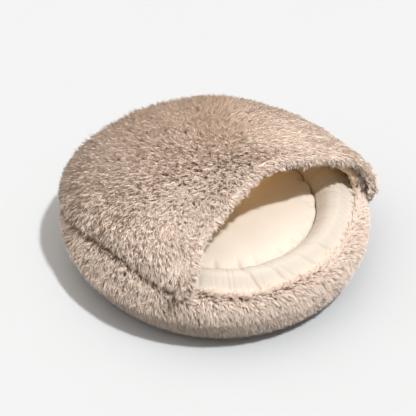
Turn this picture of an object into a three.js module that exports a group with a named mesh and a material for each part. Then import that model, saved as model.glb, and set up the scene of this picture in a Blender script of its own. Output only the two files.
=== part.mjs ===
// A hooded donut bed for a small pet: a stuffed ring with a long-pile outside and a gathered cream
// inside, a filled cushion on its floor, and a long-pile hood sewn to the ring, open at the front.
// Millimetres, +Z up, origin on the floor below the middle of the ring, mouth towards -Y.

import * as THREE from 'three';
import { mergeVertices } from 'three/addons/utils/BufferGeometryUtils.js';

// Driving sizes
const WALL_RADIUS = 252; // over the tips of the wall's pile, at its widest
const WALL_WIDEST = 70; // height of that widest line
const SEAM_RADIUS = 254; // crease between hood and wall, at the back and the sides
const SEAM_HEIGHT = 91;
const SLAB = 22; // cloth and pile of the hood together
const DOME_TOP = 182; // hood over the axis, before the arch of the mouth lifts it
const DOME_POWER = 1.03; // 1 is an elliptic dome, more is more conical
const BULGE_OUT = 4; // the hood is widest this far outside the crease
const BULGE_UP = 11; // and this far above it
const ARCH_LIFT = 40; // the mouth's stiff edge lifts the front of the hood
const ARCH_X = 30;
const ARCH_Y = -100;
const ARCH_SPREAD = 90;
const MOUTH_HALF = 55; // degrees from the front to each corner of the mouth
const FLARE_AT = 53; // degrees: the hood stands out more squarely at this corner of the mouth
const FLARE_SPREAD = 24;
const FLARE_POWER = 0.3;
const FLARE_OUT = 4;
const FLARE_SWING = 6; // degrees that the hood's edge sweeps back above this corner
const BORDER_HEIGHT = 103; // edge between the wall's pile and the cream bolster
const BOLSTER_INNER = 163; // crease between bolster and cushion
const BOLSTER_CREASE = 89;
const BOLSTER_TOP = 114;
const CUSHION_TOP = 103;
const BASE_RADIUS = 200;
const BASE_THICK = 3;
const LINING_THICK = 2.2;
const LINING_SETBACK = 15; // the pile is turned under by this much at the mouth
const LINING_TURN = 4; // and by this many degrees at its corners

// Gaps between pieces that lie against each other
const GAP = 0.4;
const PILE_GAP = 0.9;
const FLOOR = BASE_THICK + GAP; // where the stuffing starts above the base

// The seam is pulled up and in on one side, where the ring is fuller
const PULL_AT = -90; // degrees
const PULL_SPREAD_BACK = 27;
const PULL_SPREAD_FRONT = 38;
const PULL_IN = 30;
const PULL_UP = 38;
const PULL_TUCK = 7; // the foot of the wall is drawn in there
const PULL_BORDER_IN = 21;
const PULL_BORDER_UP = 10;
const PULL_TOP_IN = 24;
const PULL_BOLSTER_UP = 6;
const FULL_AT = -138; // degrees: the ring stands out most here
const FULL_SPREAD = 45;
const FULL_OUT = 5;

// Folds and pile
const GATHERS = 30;
const GATHER_DEPTH = 3.2;
const PUCKERS = 24;
const PUCKER_DEPTH = 2.6;
const PILE_LUMP = 1.9;
const HOOD_LOCKS = 62;
const WALL_LOCKS = 44;

const rad = THREE.MathUtils.degToRad;
const mix = THREE.MathUtils.lerp;
const smooth = THREE.MathUtils.smoothstep;

// A repeatable number from 0 to 1 for each pair of whole numbers
function chance(a, b = 0) {
  const wave = Math.sin(a * 127.1 + b * 311.7 + 17.3) * 43758.5453;
  return wave - Math.floor(wave);
}

function wrap(degrees) {
  return THREE.MathUtils.euclideanModulo(degrees + 180, 360) - 180;
}

// A point from its distance to the axis, its angle from the front and its height
function at(radius, degrees, height) {
  const turn = rad(degrees);
  return new THREE.Vector3(radius * Math.sin(turn), -radius * Math.cos(turn), height);
}

// Angles round the bed, closer together at the corners of the mouth
function anglesRound(step, cornerOffsets) {
  const angles = [];
  for (let a = -180; a < 180; a += step) {
    const fromCorner = Math.abs(a) - MOUTH_HALF;
    const beside = fromCorner < cornerOffsets[0] - 2 || fromCorner > cornerOffsets.at(-1) + 2;
    if (!cornerOffsets.length || beside) angles.push(a);
  }
  for (const side of [-1, 1]) {
    for (const offset of cornerOffsets) angles.push(side * (MOUTH_HALF + offset));
  }
  return angles.sort((a, b) => a - b);
}

// Closed surfaces

function outward(geometry) {
  const points = geometry.getAttribute('position');
  const index = geometry.index;
  const a = new THREE.Vector3();
  const b = new THREE.Vector3();
  const c = new THREE.Vector3();
  let volume = 0;
  for (let i = 0; i < index.count; i += 3) {
    a.fromBufferAttribute(points, index.getX(i));
    b.fromBufferAttribute(points, index.getX(i + 1));
    c.fromBufferAttribute(points, index.getX(i + 2));
    volume += a.dot(b.cross(c));
  }
  if (volume < 0) {
    for (let i = 0; i < index.count; i += 3) {
      const second = index.getX(i + 1);
      index.setX(i + 1, index.getX(i + 2));
      index.setX(i + 2, second);
    }
  }
  geometry.computeVertexNormals();
  return geometry;
}

// Joins sections with equal numbers of points. A ring goes round and closes on itself, and each
// section is a closed loop, or an open line whose two ends are the same points in every section.
function skin(sections, { round = true, loop = true } = {}) {
  const count = sections[0].length;
  const vertices = sections.flat().flatMap((p) => [p.x, p.y, p.z]);
  const index = [];
  const lastSection = round ? sections.length : sections.length - 1;
  const lastPoint = loop ? count : count - 1;
  for (let i = 0; i < lastSection; i++) {
    for (let j = 0; j < lastPoint; j++) {
      const a = i * count + j;
      const b = i * count + ((j + 1) % count);
      const c = ((i + 1) % sections.length) * count + ((j + 1) % count);
      const d = ((i + 1) % sections.length) * count + j;
      index.push(a, b, c, a, c, d);
    }
  }
  if (!round) {
    for (let j = 1; j < count - 1; j++) {
      const end = (sections.length - 1) * count;
      index.push(0, j + 1, j, end, end + j, end + j + 1);
    }
  }
  const open = new THREE.BufferGeometry();
  open.setAttribute('position', new THREE.Float32BufferAttribute(vertices, 3));
  open.setIndex(index);
  return outward(withoutSlivers(mergeVertices(open, 1e-4)));
}

// Drops the triangles that have shrunk to a line at a pole
function withoutSlivers(geometry) {
  const index = geometry.index.array;
  const kept = [];
  for (let i = 0; i < index.length; i += 3) {
    const [a, b, c] = [index[i], index[i + 1], index[i + 2]];
    if (a !== b && b !== c && c !== a) kept.push(a, b, c);
  }
  geometry.setIndex(kept);
  return geometry;
}

// A smooth line through named points, sampled evenly along its length
function traced(points, count) {
  return new THREE.CatmullRomCurve3(points, false, 'centripetal').getSpacedPoints(count - 1);
}

// The seam, the border and the face between the wall's cloth and the stuffing

function pull(degrees) {
  const away = wrap(degrees) - PULL_AT;
  const spread = away < 0 ? PULL_SPREAD_BACK : PULL_SPREAD_FRONT;
  return Math.exp(-((away / spread) ** 2));
}

function flare(degrees) {
  return Math.exp(-(((wrap(degrees) - FLARE_AT) / FLARE_SPREAD) ** 2));
}

function full(degrees) {
  return Math.exp(-((wrap(degrees - FULL_AT) / FULL_SPREAD) ** 2));
}

function seamRadius(degrees) {
  const out = FLARE_OUT * flare(degrees) + FULL_OUT * full(degrees);
  return SEAM_RADIUS - PULL_IN * pull(degrees) + out;
}

function seamHeight(degrees) {
  return SEAM_HEIGHT + PULL_UP * pull(degrees);
}

// 1 below the mouth, where the wall's pile turns over the ring, and 0 where the hood sits on it
function belowMouth(degrees) {
  return 1 - smooth(Math.abs(wrap(degrees)), MOUTH_HALF - 6, MOUTH_HALF - 2);
}

const FACE_LOW = { radius: 200, height: FLOOR };
const FACE_BEND = { radius: 223, height: 30 };
const FACE_WIDEST = { radius: 231, height: 68 };
const BORDER_SIDE = 227;
const BORDER_FRONT = 222.5;
const BORDER_DIP = { at: -30, spread: 14, down: 5, out: 3 };
const TOP_SIDE = 224;
const TOP_FRONT = 218;
const TOP_HEIGHT = 132;
const FACE_BLEND = { from: MOUTH_HALF - 22, to: MOUTH_HALF + 8 }; // degrees from front to side

// The points of the face between the wall's cloth and the stuffing, from the floor up
function face(degrees) {
  const pulled = pull(degrees);
  const front = 1 - smooth(Math.abs(wrap(degrees)), FACE_BLEND.from, FACE_BLEND.to);
  const dip = Math.exp(-(((wrap(degrees) - BORDER_DIP.at) / BORDER_DIP.spread) ** 2));
  const border = {
    radius: mix(BORDER_SIDE, BORDER_FRONT, front) + BORDER_DIP.out * dip - PULL_BORDER_IN * pulled,
    height: BORDER_HEIGHT - BORDER_DIP.down * dip + PULL_BORDER_UP * pulled,
  };
  const top = { radius: mix(TOP_SIDE, TOP_FRONT, front) - PULL_TOP_IN * pulled, height: TOP_HEIGHT };
  return [FACE_LOW, FACE_BEND, FACE_WIDEST, border, top];
}

// Distance from the axis to that face, at a height
function faceRadius(height, degrees) {
  const line = face(degrees);
  let high = 1;
  while (high < line.length - 1 && height > line[high].height) high++;
  const low = line[high - 1];
  const part = (height - low.height) / (line[high].height - low.height);
  return mix(low.radius, line[high].radius, part);
}

function borderPoint(degrees) {
  return face(degrees)[3];
}

// Ring

// Depth of the gathers in the bolster's cloth. Each is off its even place and has its own depth.
const GATHER_SHIFT = 0.25;
const GATHER_WIDTH = 0.3;
const GATHER_POWER = 1.4;

function gather(degrees) {
  const pitch = 360 / GATHERS;
  const fold = Math.round(degrees / pitch);
  const shift = mix(-GATHER_SHIFT, GATHER_SHIFT, chance(fold, 1)) * pitch;
  const away = Math.abs(degrees - fold * pitch - shift) / pitch;
  const sharp = Math.max(0, 1 - away / GATHER_WIDTH);
  return GATHER_DEPTH * mix(0.45, 1, chance(fold, 2)) * sharp ** GATHER_POWER;
}

const BOLSTER_INSIDE = [
  { inside: 9, height: FLOOR },
  { inside: 2, height: 45 },
];
// From the crease with the cushion, over the top, almost to the border
const BOLSTER_OVER_TOP = [
  { across: 0, up: 0, folded: 0.3 },
  { across: 0.03, up: 0.28, folded: 0.7 },
  { across: 0.15, up: 0.72, folded: 1 },
  { across: 0.36, up: 0.97, folded: 0.8 },
  { across: 0.6, up: 1, folded: 0.75 },
  { across: 0.82, up: 0.86, folded: 0.9 },
];

function bolsterSection(degrees) {
  const border = borderPoint(degrees);
  const depth = gather(degrees);
  const top = BOLSTER_TOP + PULL_BOLSTER_UP * pull(degrees);
  const points = BOLSTER_INSIDE.map(({ inside, height }) => (
    at(BOLSTER_INNER - inside, degrees, height)));
  for (const { across, up, folded } of BOLSTER_OVER_TOP) {
    const radius = mix(BOLSTER_INNER, border.radius, across);
    points.push(at(radius, degrees, mix(BOLSTER_CREASE, top, up) - depth * folded));
  }
  for (const { radius, height } of [border, FACE_WIDEST, FACE_BEND, FACE_LOW]) {
    points.push(at(radius - GAP, degrees, height));
  }
  return points;
}

function bolster() {
  return skin(anglesRound(3, []).map(bolsterSection));
}

// The cushion's side and top, with how far a pucker draws each row in and down
const CUSHION_EDGE = BOLSTER_INNER - 2.4;
const CUSHION_ROWS = [
  { inside: 16, height: FLOOR, drawnIn: 0, down: 0 },
  { inside: 5, height: 15, drawnIn: 0, down: 0 },
  { inside: 1.5, height: 46, drawnIn: 0, down: 0 },
  { inside: 0.5, height: 74, drawnIn: 0, down: 0 },
  { inside: 0, height: BOLSTER_CREASE - 2, drawnIn: 0.6, down: 0.6 },
  { inside: 9, height: BOLSTER_CREASE + 3, drawnIn: 0, down: 1 },
  { inside: 24, height: BOLSTER_CREASE + 8, drawnIn: 0, down: 0.5 },
  { inside: 60, height: CUSHION_TOP - 2, drawnIn: 0, down: 0 },
  { inside: 108, height: CUSHION_TOP - 0.3, drawnIn: 0, down: 0 },
];
const PUCKER_WIDTH = 0.34;

function pucker(degrees) {
  const pitch = 360 / PUCKERS;
  const fold = Math.round(degrees / pitch);
  const away = Math.abs(degrees - fold * pitch) / pitch;
  return PUCKER_DEPTH * mix(0.5, 1, chance(fold, 5)) * Math.max(0, 1 - away / PUCKER_WIDTH);
}

function cushionSection(degrees) {
  const depth = pucker(degrees);
  const side = CUSHION_ROWS.map(({ inside, height, drawnIn, down }) => (
    at(CUSHION_EDGE - inside - drawnIn * depth, degrees, height - down * depth)));
  return [at(0, 0, FLOOR), ...side, at(0, 0, CUSHION_TOP)];
}

function cushion() {
  return skin(anglesRound(5, []).map(cushionSection), { loop: false });
}

// Wall

const WALL_OUTSIDE = [
  { radius: 205, height: 1.2, tuck: 0, out: 0 },
  { radius: 216, height: 3, tuck: 0.4, out: 0 },
  { radius: 231, height: 14, tuck: 1, out: 0.3 },
  { radius: 245, height: 38, tuck: 0.9, out: 0.8 },
  { radius: WALL_RADIUS, height: WALL_WIDEST, tuck: 0, out: 1 },
];

// The wall's shoulder: between its widest line and the seam at the sides, and below the mouth
const SHOULDER_SIDE = { rise: 0.6, out: 2 };
const SHOULDER_FRONT = { radius: 248, height: 89 };
// Then its top, from the seam at the sides and from the border below the mouth
const WALL_TOP = [
  { seamIn: 1, seamDown: 3, borderOut: 16, borderUp: 0 },
  { seamIn: 5, seamDown: GAP, borderOut: 8, borderUp: 5 },
];
const LIP_UP = 3; // the cloth ends this far above the border, below the mouth
const LIP_OUT = 1.5;
const WALL_ROWS = 12;

// How far the tips of the pile stand out at a place: broad waves and finer tufts
const BROAD = 0.4;
const TUFT = 0.6;

function lump({ x, y, z }) {
  const broad = Math.sin(x / 23 + z / 17) + Math.sin(y / 19 - x / 41) + Math.sin(z / 13 + y / 29);
  const tuft = Math.sin(x / 5.3 + y / 9.1) * Math.sin(y / 4.7 - z / 6.1);
  return PILE_LUMP * (BROAD * broad + TUFT * tuft);
}

function wallOutside(degrees, border, seam) {
  const front = belowMouth(degrees);
  const tucked = PULL_TUCK * pull(degrees);
  const fuller = FULL_OUT * full(degrees);
  const points = WALL_OUTSIDE.map(({ radius, height, tuck, out }) => (
    at(radius - tuck * tucked + out * fuller, degrees, height)));
  const shoulder = {
    radius: mix(WALL_RADIUS + fuller, seam.radius, 0.5) + SHOULDER_SIDE.out,
    height: mix(WALL_WIDEST, seam.height, SHOULDER_SIDE.rise),
  };
  points.push(at(
    mix(shoulder.radius, SHOULDER_FRONT.radius, front), degrees,
    mix(shoulder.height, SHOULDER_FRONT.height, front),
  ));
  for (const { seamIn, seamDown, borderOut, borderUp } of WALL_TOP) {
    points.push(at(
      mix(seam.radius - seamIn, border.radius + borderOut, front), degrees,
      mix(seam.height - seamDown, border.height + borderUp, front),
    ));
  }
  return traced(points, WALL_ROWS).map((point, row) => {
    const inside = Math.sin((Math.PI * row) / (WALL_ROWS - 1)) ** 0.5;
    const stretch = 1 + (inside * lump(point)) / WALL_RADIUS;
    return new THREE.Vector3(point.x * stretch, point.y * stretch, point.z);
  });
}

function wallSection(degrees) {
  const front = belowMouth(degrees);
  const border = borderPoint(degrees);
  const seam = { radius: seamRadius(degrees), height: seamHeight(degrees) };
  const lip = mix(seam.height - GAP, border.height + LIP_UP, front);
  const belowLip = Math.min(border.height, mix(FACE_WIDEST.height, lip, 0.5));
  const cloth = [at(faceRadius(lip, degrees) + GAP + LIP_OUT * front, degrees, lip)];
  for (const height of [belowLip, FACE_WIDEST.height, FACE_BEND.height, FACE_LOW.height]) {
    cloth.push(at(faceRadius(height, degrees) + GAP, degrees, height));
  }
  return [...wallOutside(degrees, border, seam), ...cloth];
}

// Columns are closer together towards each corner of the mouth
const CORNER_STEPS = [-16, -13, -10, -7.7, -6, -4.6, -3.5, -2.6, -1.8, -1.1, -0.4, 0.5, 1.6, 4.5];
const ROUND = anglesRound(6, CORNER_STEPS);

function wallPanel() {
  return skin(ROUND.map(wallSection));
}

// Hood

function archLift(x, y) {
  const away = (x - ARCH_X) ** 2 + (y - ARCH_Y) ** 2;
  return ARCH_LIFT * Math.exp(-away / (2 * ARCH_SPREAD ** 2));
}

function domePower(degrees) {
  return DOME_POWER - FLARE_POWER * flare(degrees);
}

const SWUNG_BY = 0.3; // the rise at which the sweep of the edge is complete
const LIFTED_BY = 0.35; // and the lift of the arch

// A point on the hood. Rise is -1 at the seam, 0 where the hood is widest and 1 over the axis,
// and inset is the depth below the tips of the pile.
function hoodPoint(degrees, rise, inset) {
  const widest = seamRadius(degrees) + BULGE_OUT - inset;
  const base = seamHeight(degrees) + BULGE_UP;
  if (rise < 0) {
    const lowest = seamHeight(degrees) + GAP;
    return at(widest - BULGE_OUT * rise ** 2, degrees, mix(base, lowest, -rise));
  }
  const turn = rad(90 * rise);
  const power = domePower(degrees);
  const swung = degrees + FLARE_SWING * flare(degrees) * smooth(rise, 0, SWUNG_BY);
  const point = at(rise >= 1 ? 0 : widest * Math.cos(turn) ** power, swung, 0);
  const height = (DOME_TOP - inset - base) * Math.sin(turn) ** power;
  point.z = base + height + archLift(point.x, point.y) * smooth(rise, 0, LIFTED_BY);
  return point;
}

// The mouth's edge in plan: its distance from the axis, by degrees from the front
const EDGE_LEFT = [
  { away: 0, radius: 87 },
  { away: 12, radius: 90 },
  { away: 22, radius: 98 },
  { away: 32, radius: 110 },
  { away: 39, radius: 126 },
  { away: 44, radius: 139 },
  { away: 48, radius: 153 },
  { away: 51, radius: 170 },
  { away: 53, radius: 196 },
  { away: 55, radius: 228 },
];
const EDGE_RIGHT = [
  { away: 0, radius: 87 },
  { away: 10, radius: 89 },
  { away: 20, radius: 95 },
  { away: 29, radius: 107 },
  { away: 34.7, radius: 124 },
  { away: 38.8, radius: 141 },
  { away: 44.7, radius: 165 },
  { away: 47.3, radius: 184 },
  { away: 50.1, radius: 212 },
  { away: 54, radius: 242 },
];

function edgeRadius(degrees) {
  const rows = degrees < 0 ? EDGE_LEFT : EDGE_RIGHT;
  const away = Math.abs(degrees);
  const after = rows.findIndex((row) => row.away >= away);
  if (after < 0) return rows.at(-1).radius;
  if (after === 0) return rows[0].radius;
  const [low, high] = [rows[after - 1], rows[after]];
  return mix(low.radius, high.radius, (away - low.away) / (high.away - low.away));
}

const CORNER_BLEND = { from: MOUTH_HALF - 2.5, to: MOUTH_HALF + 1 };

// How far down its section the hood reaches, as a rise. Setback and turn draw it back.
function hoodEdge(degrees, setback = 0, turn = 0) {
  const fromFront = Math.abs(wrap(degrees));
  if (fromFront > CORNER_BLEND.to) return -1;
  const column = Math.sign(degrees) * Math.max(0, fromFront - turn);
  const part = (edgeRadius(column) - setback) / (seamRadius(degrees) + BULGE_OUT);
  const rise = THREE.MathUtils.radToDeg(Math.acos(part ** (1 / domePower(degrees)))) / 90;
  return mix(rise, -1, smooth(fromFront, CORNER_BLEND.from, CORNER_BLEND.to));
}

// 1 where the hood ends in the mouth's rolled edge and 0 where it is sewn down
function rolled(degrees) {
  return 1 - smooth(Math.abs(wrap(degrees)), CORNER_BLEND.from, CORNER_BLEND.to);
}

function edgeMiddle(degrees) {
  return hoodPoint(degrees, hoodEdge(degrees), SLAB / 2);
}

// The rolled edge in one section: its middle, half its depth and the way it faces
function hoodRoll(degrees) {
  const edge = hoodEdge(degrees);
  const outer = hoodPoint(degrees, edge, 0);
  const inner = hoodPoint(degrees, edge, SLAB);
  const middle = outer.clone().add(inner).multiplyScalar(0.5);
  const half = outer.clone().sub(inner).multiplyScalar(0.5);
  const along = edgeMiddle(degrees + 0.5).sub(edgeMiddle(degrees - 0.5));
  const facing = along.cross(half).normalize();
  return { edge, middle, half, facing };
}

function rollPoint({ middle, half, facing }, degreesRound, depth) {
  const turn = rad(degreesRound);
  return middle.clone()
    .addScaledVector(half, Math.cos(turn))
    .addScaledVector(facing, depth * Math.sin(turn));
}

const HOOD_RISES = [-1, 0, 0.13, 0.26, 0.38, 0.5, 0.6, 0.7, 0.79, 0.88, 0.95, 1];
const LINING_LOW = 0.24; // the rise at which the lining leaves the hood for the border
const LINING_RISES = [LINING_LOW, 0.36, 0.48, 0.6, 0.72, 0.86, 1];
const ROLL_STEPS = [36, 72, 108, 144];
const SAME_RISE = 0.012;
const LUMPS_FROM_EDGE = 0.12; // the pile is even at the mouth's edge and over the axis
const LUMPS_UP_TO = 0.75;

// The rises of a section that ends at edge: those below it are moved up to it
function risesFrom(edge, rises) {
  return rises.map((rise) => (rise < edge + SAME_RISE ? edge : rise));
}

// How far down its section the lining reaches, as a rise
function liningEdge(degrees) {
  return Math.max(LINING_LOW, hoodEdge(degrees, LINING_SETBACK, LINING_TURN));
}

function hoodSection(degrees) {
  const roll = hoodRoll(degrees);
  const outer = risesFrom(roll.edge, HOOD_RISES).map((rise) => {
    const tips = hoodPoint(degrees, rise, 0);
    const fade = smooth(rise, roll.edge, roll.edge + LUMPS_FROM_EDGE)
      * (1 - smooth(rise, LUMPS_UP_TO, 1));
    return hoodPoint(degrees, rise, -fade * lump(tips));
  });
  const clothRises = [-1, 0, liningEdge(degrees), ...LINING_RISES].sort((a, b) => a - b);
  const inner = risesFrom(roll.edge, clothRises).map((rise) => hoodPoint(degrees, rise, SLAB));
  const depth = (SLAB / 2) * rolled(degrees);
  const round = ROLL_STEPS.map((step) => rollPoint(roll, step, depth));
  return [...outer.reverse(), ...round, ...inner];
}

function hoodPanel() {
  return skin(ROUND.map(hoodSection), { loop: false });
}

// The lining's foot is sewn just inside the border. Its hem at the mouth is a short step of rise.
const SEWN_IN = 1.2;
const SEWN_UP = 4;
const HEM = 0.004;

function liningSection(degrees) {
  const border = borderPoint(degrees);
  const free = 1 - smooth(Math.abs(wrap(degrees)), CORNER_BLEND.from - 1.5, CORNER_BLEND.to);
  const low = liningEdge(degrees);
  const faces = [0, LINING_THICK].map((depth) => {
    const inset = SLAB + PILE_GAP + depth;
    const line = risesFrom(low, LINING_RISES).map((rise) => hoodPoint(degrees, rise, inset));
    const sewn = at(border.radius - SEWN_IN - depth, degrees, border.height + SEWN_UP);
    return [sewn.lerp(hoodPoint(degrees, low - HEM, inset), free), ...line];
  });
  return [...faces[0].reverse(), ...faces[1]];
}

function hoodLining() {
  return skin(ROUND.map(liningSection), { loop: false });
}

// Locks of pile

const LOCK_TAPER = 0.4; // how far a lock has narrowed at half its length

// A strip along a path whose front face grows a tapered lock of four sides from each of its cells.
// Facing gives the way the strip faces at a place, and way gives each lock's own way.
function lockedStrip({ path, facing, way, locks, width, thick, length }) {
  const corners = [];
  const index = [];
  for (let i = 0; i <= locks; i++) {
    const place = i / locks;
    const front = facing(place);
    const across = path.getTangentAt(place).cross(front).normalize();
    for (const [side, level] of [[-1, 0], [1, 0], [1, 1], [-1, 1]]) {
      corners.push(path.getPointAt(place)
        .addScaledVector(across, (side * width) / 2)
        .addScaledVector(front, level * thick));
    }
  }
  const quad = (a, b, c, d) => index.push(a, b, c, a, c, d);
  for (let i = 0; i < locks; i++) {
    const near = 4 * i;
    const far = near + 4;
    for (const side of [0, 1, 3]) {
      const next = (side + 1) % 4;
      quad(near + side, near + next, far + next, far + side);
    }
    const root = [near + 2, near + 3, far + 3, far + 2];
    const middle = new THREE.Vector3();
    for (const corner of root) middle.addScaledVector(corners[corner], 0.25);
    const reach = way(i).multiplyScalar(length(i));
    const first = corners.length;
    for (const corner of root) {
      corners.push(corners[corner].clone().lerp(middle, LOCK_TAPER).addScaledVector(reach, 0.5));
    }
    const tip = corners.push(middle.clone().add(reach)) - 1;
    for (let k = 0; k < 4; k++) {
      const next = (k + 1) % 4;
      quad(root[k], root[next], first + next, first + k);
      index.push(first + k, first + next, tip);
    }
  }
  const end = 4 * locks;
  quad(0, 3, 2, 1);
  quad(end, end + 1, end + 2, end + 3);
  const geometry = new THREE.BufferGeometry().setFromPoints(corners);
  geometry.setIndex(index);
  return outward(geometry);
}

const HOOD_LOCK = { length: 15, reach: 54, turn: 96, width: 5, thick: 1.6 };
const WALL_LOCK = { length: 10, reach: 49.2, width: 4.5, thick: 1.6 };
const LEAN = 0.35; // how far locks lean along their strip
const STRIP_OUT = 3.4; // the wall's strip lies on the pile, just outside the border
const STRIP_UP = 7.4;

function vary(low, high, lock, kind) {
  return mix(low, high, chance(lock, kind));
}

function hoodLocks() {
  const stations = ROUND.filter((a) => Math.abs(a) <= HOOD_LOCK.reach);
  const rolls = stations.map(hoodRoll);
  const depth = SLAB / 2 + PILE_GAP;
  const path = new THREE.CatmullRomCurve3(rolls.map((roll) => rollPoint(roll, HOOD_LOCK.turn, depth)));
  const ways = new THREE.CatmullRomCurve3(rolls.map(({ facing }) => facing));
  const facing = (place) => ways.getPoint(path.getUtoTmapping(place)).normalize();
  return lockedStrip({
    ...HOOD_LOCK,
    path,
    facing,
    locks: HOOD_LOCKS,
    way: (lock) => {
      const place = (lock + 0.5) / HOOD_LOCKS;
      const lean = path.getTangentAt(place).multiplyScalar(vary(-LEAN, LEAN, lock, 13));
      const way = facing(place).add(lean);
      way.z -= vary(0.2, 0.8, lock, 12);
      return way.normalize();
    },
    length: (lock) => HOOD_LOCK.length * vary(0.7, 1.15, lock, 14),
  });
}

function wallLocks() {
  const stations = ROUND.filter((a) => Math.abs(a) <= WALL_LOCK.reach);
  const path = new THREE.CatmullRomCurve3(stations.map((a) => {
    const border = borderPoint(a);
    return at(border.radius + STRIP_OUT, a, border.height + STRIP_UP);
  }));
  const inward = (place) => path.getPointAt(place).setZ(0).normalize().negate();
  return lockedStrip({
    ...WALL_LOCK,
    path,
    facing: inward,
    locks: WALL_LOCKS,
    way: (lock) => {
      const place = (lock + 0.5) / WALL_LOCKS;
      const lean = path.getTangentAt(place).multiplyScalar(vary(-LEAN, LEAN, lock, 23));
      const way = inward(place).add(lean);
      way.z += vary(0.15, 0.5, lock, 22);
      return way.normalize();
    },
    length: (lock) => WALL_LOCK.length * vary(0.7, 1.15, lock, 24),
  });
}

function basePanel() {
  const profile = [[0, 0], [BASE_RADIUS, 0], [BASE_RADIUS, BASE_THICK], [0, BASE_THICK]];
  const points = profile.map(([radius, height]) => new THREE.Vector2(radius, height));
  const disc = new THREE.LatheGeometry(points, 60).rotateX(Math.PI / 2);
  disc.deleteAttribute('normal');
  disc.deleteAttribute('uv');
  return outward(withoutSlivers(mergeVertices(disc, 1e-4)));
}

// Materials and the group

const LONG_PILE = { color: 0xbca28f, roughness: 0.95, metalness: 0 };
const CREAM_CLOTH = { color: 0xf5e6cc, roughness: 0.85, metalness: 0 };
const BASE_CLOTH = { color: 0x6e655e, roughness: 0.9, metalness: 0 };

function piece(name, geometry, look) {
  const mesh = new THREE.Mesh(geometry, new THREE.MeshStandardMaterial(look));
  mesh.name = name;
  return mesh;
}

const bed = new THREE.Group();
bed.add(piece('base_panel', basePanel(), BASE_CLOTH));
bed.add(piece('bolster', bolster(), CREAM_CLOTH));
bed.add(piece('cushion', cushion(), CREAM_CLOTH));
bed.add(piece('wall_panel', wallPanel(), LONG_PILE));
bed.add(piece('hood_panel', hoodPanel(), LONG_PILE));
bed.add(piece('hood_lining', hoodLining(), CREAM_CLOTH));
bed.add(piece('hood_locks', hoodLocks(), LONG_PILE));
bed.add(piece('wall_locks', wallLocks(), LONG_PILE));

export default bed;
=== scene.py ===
"""A hooded donut bed for a small pet, dressed for its picture.

Lengths in the shape functions are in millimetres, with +Z up, the origin on the floor below the
middle of the ring and the mouth towards -Y. Meshes are made in metres.
"""

import math

import bmesh
import bpy
import numpy as np
from mathutils import Matrix, Vector
from mathutils.kdtree import KDTree


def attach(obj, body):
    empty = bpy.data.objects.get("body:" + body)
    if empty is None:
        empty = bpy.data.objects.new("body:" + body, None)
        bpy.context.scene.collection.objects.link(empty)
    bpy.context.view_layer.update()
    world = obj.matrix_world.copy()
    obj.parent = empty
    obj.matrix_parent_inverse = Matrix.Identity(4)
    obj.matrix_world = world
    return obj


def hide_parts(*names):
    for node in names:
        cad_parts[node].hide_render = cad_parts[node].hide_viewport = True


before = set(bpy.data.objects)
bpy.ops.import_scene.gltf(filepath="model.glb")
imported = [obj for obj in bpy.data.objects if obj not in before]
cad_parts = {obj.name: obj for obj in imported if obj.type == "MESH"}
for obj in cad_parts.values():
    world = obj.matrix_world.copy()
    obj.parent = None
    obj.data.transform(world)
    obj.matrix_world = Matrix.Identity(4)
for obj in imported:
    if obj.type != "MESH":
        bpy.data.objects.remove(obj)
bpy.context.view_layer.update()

bl_info = {
    "name": "Hooded Donut Pet Bed",
    "version": (1, 0, 0),
    "blender": (4, 5, 0),
    "location": "3D View > Sidebar > Pet Bed",
    "description": "Makes a hooded donut bed with long pile outside and gathered cream cloth inside",
    "category": "Object",
}

MM = 0.001

# Seam between hood and wall
SEAM_RADIUS = 254
SEAM_HEIGHT = 91
GAP = 0.4

# Hood, over the tips of its pile
SLAB = 22
EDGE_THIN = 7.5
DOME_TOP = 182
DOME_POWER = 1.03
BULGE_OUT = 4
BULGE_UP = 11
ARCH = {"lift": 40, "x": 30, "y": -100, "spread": 90}
MOUTH_HALF = 55
FLARE = {"at": 53, "spread": 24, "power": 0.3, "out": 4, "swing": 6}
SWUNG_BY = 0.3
LIFTED_BY = 0.35

# One side of the ring is pulled up and in, and the next stretch is fuller
PULL = {"at": -90, "back": 34, "front": 38, "in": 30, "up": 38, "tuck": 7}
PULL_BORDER = {"in": 21, "up": 10}
PULL_BOLSTER_UP = 6
FULL = {"at": -138, "spread": 45, "out": 5}

# Wall and border
WALL_RADIUS = 252
BORDER_HEIGHT = 103
BORDER_SIDE = 227
BORDER_FRONT = 222.5
BORDER_DIP = {"at": -30, "spread": 14, "down": 5, "out": 3}
WALL_WIDEST = 70.0
SHOULDER_FRONT = {"radius": 248.0, "height": 89.0}
FACE_BLEND = (MOUTH_HALF - 22, MOUTH_HALF + 8)
FRONT_BLEND = (MOUTH_HALF - 6, MOUTH_HALF - 2)
CORNER_BLEND = (MOUTH_HALF - 2.5, MOUTH_HALF + 1)

# Ring and cushion
FLOOR = 3.4
BOLSTER_INNER = 163
BOLSTER_CREASE = 91.5
BOLSTER_TOP = 114
CUSHION_TOP = 103
CUSHION_EDGE = BOLSTER_INNER - 0.8
BASE_RADIUS = 200
BASE_THICK = 3

# The mouth's edge in plan: degrees from the front and distance from the axis
EDGE_LEFT = [
    (0, 87), (12, 90), (22, 98), (32, 110), (39, 126), (44, 139), (48, 153), (51, 170), (53, 196),
    (55, 228),
]
EDGE_RIGHT = [
    (0, 87), (10, 89), (20, 95), (29, 107), (34.7, 124), (38.8, 141), (44.7, 165), (47.3, 184),
    (50.1, 212), (54, 242),
]


# Numbers along and round the bed


def mix(a, b, part):
    return a + (b - a) * part


def smooth(x, low, high):
    part = np.clip((np.asarray(x, float) - low) / (high - low), 0, 1)
    return part * part * (3 - 2 * part)


def wrap(degrees):
    return (np.asarray(degrees, float) + 180) % 360 - 180


def bell(x, spread):
    return np.exp(-((x / spread) ** 2))


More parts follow.
